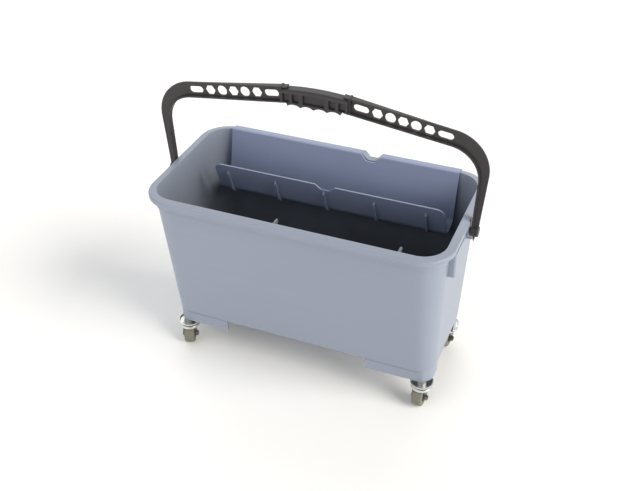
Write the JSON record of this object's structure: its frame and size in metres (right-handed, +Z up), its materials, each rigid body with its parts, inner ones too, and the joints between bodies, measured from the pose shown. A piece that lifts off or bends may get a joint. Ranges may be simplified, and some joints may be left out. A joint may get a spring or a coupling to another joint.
{
  "type": "window cleaning bucket",
  "caption": "Rectangular tapered plastic bucket on swivel castors, with a swinging bail and a tool tray hooked over its rim.",
  "frame": {"origin": "on the floor, under the middle of the bucket", "axes": "+X along the bucket's length, -Y towards its front (the tray is at the back, +Y), +Z up"},
  "size_m": [0.5252, 0.2607, 0.4755],
  "materials": {
    "tub_plastic": "satin moulded polypropylene",
    "tray_plastic": "satin moulded polypropylene",
    "bail_plastic": "fine matt grain",
    "peg_plastic": "smooth",
    "bright_steel": "bright plated",
    "dark_steel": "dull plated",
    "hub_plastic": "moulded",
    "wheel_rubber": "taupe-grey solid tread"
  },
  "bodies": {
    "bucket": {"tub": "tub_plastic", "left_pivot_peg": "peg_plastic", "right_pivot_peg": "peg_plastic", "front_left_stem": "bright_steel", "front_left_race": "bright_steel", "front_left_balls": "bright_steel", "front_right_stem": "bright_steel", "front_right_race": "bright_steel", "front_right_balls": "bright_steel", "rear_right_stem": "bright_steel", "rear_right_race": "bright_steel", "rear_right_balls": "bright_steel", "rear_left_stem": "bright_steel", "rear_left_race": "bright_steel", "rear_left_balls": "bright_steel"},
    "bail": {"bail": "bail_plastic"},
    "tray": {"tray": "tray_plastic"},
    "front_left_swivel": {"front_left_fork": "dark_steel", "front_left_axle": "bright_steel", "front_left_nut": "bright_steel"},
    "front_left_wheel": {"front_left_hub": "hub_plastic", "front_left_tyre": "wheel_rubber"},
    "front_right_swivel": {"front_right_fork": "dark_steel", "front_right_axle": "bright_steel", "front_right_nut": "bright_steel"},
    "front_right_wheel": {"front_right_hub": "hub_plastic", "front_right_tyre": "wheel_rubber"},
    "rear_right_swivel": {"rear_right_fork": "dark_steel", "rear_right_axle": "bright_steel", "rear_right_nut": "bright_steel"},
    "rear_right_wheel": {"rear_right_hub": "hub_plastic", "rear_right_tyre": "wheel_rubber"},
    "rear_left_swivel": {"rear_left_fork": "dark_steel", "rear_left_axle": "bright_steel", "rear_left_nut": "bright_steel"},
    "rear_left_wheel": {"rear_left_hub": "hub_plastic", "rear_left_tyre": "wheel_rubber"}
  },
  "joints": [
    {"name": "bail_hinge", "type": "hinge", "parent": "bucket", "child": "bail", "pos_m": [0, 0, 0.292], "axis": [1, 0, 0], "range_deg": [-115, 115]},
    {"name": "tray_lift_off", "type": "slide", "parent": "bucket", "child": "tray", "axis": [0, 0, 1], "range_m": [0, 0.12]},
    {"name": "front_left_swivel_joint", "type": "hinge", "parent": "bucket", "child": "front_left_swivel", "pos_m": [-0.207, -0.076, 0.0354], "axis": [0, 0, 1], "continuous": true},
    {"name": "front_left_wheel_joint", "type": "hinge", "parent": "front_left_swivel", "child": "front_left_wheel", "pos_m": [-0.20461, -0.08258, 0.016], "axis": [-0.9397, -0.342, 0], "continuous": true},
    {"name": "front_right_swivel_joint", "type": "hinge", "parent": "bucket", "child": "front_right_swivel", "pos_m": [0.207, -0.076, 0.0354], "axis": [0, 0, 1], "continuous": true},
    {"name": "front_right_wheel_joint", "type": "hinge", "parent": "front_right_swivel", "child": "front_right_wheel", "pos_m": [0.20639, -0.08297, 0.016], "axis": [-0.9962, 0.0872, 0], "continuous": true},
    {"name": "rear_right_swivel_joint", "type": "hinge", "parent": "bucket", "child": "rear_right_swivel", "pos_m": [0.207, 0.076, 0.0354], "axis": [0, 0, 1], "continuous": true},
    {"name": "rear_right_wheel_joint", "type": "hinge", "parent": "rear_right_swivel", "child": "rear_right_wheel", "pos_m": [0.20615, 0.06905, 0.016], "axis": [-0.9925, 0.1219, 0], "continuous": true},
    {"name": "rear_left_swivel_joint", "type": "hinge", "parent": "bucket", "child": "rear_left_swivel", "pos_m": [-0.207, 0.076, 0.0354], "axis": [0, 0, 1], "continuous": true},
    {"name": "rear_left_wheel_joint", "type": "hinge", "parent": "rear_left_swivel", "child": "rear_left_wheel", "pos_m": [-0.20578, 0.06911, 0.016], "axis": [-0.9848, -0.1736, 0], "continuous": true}
  ]
}
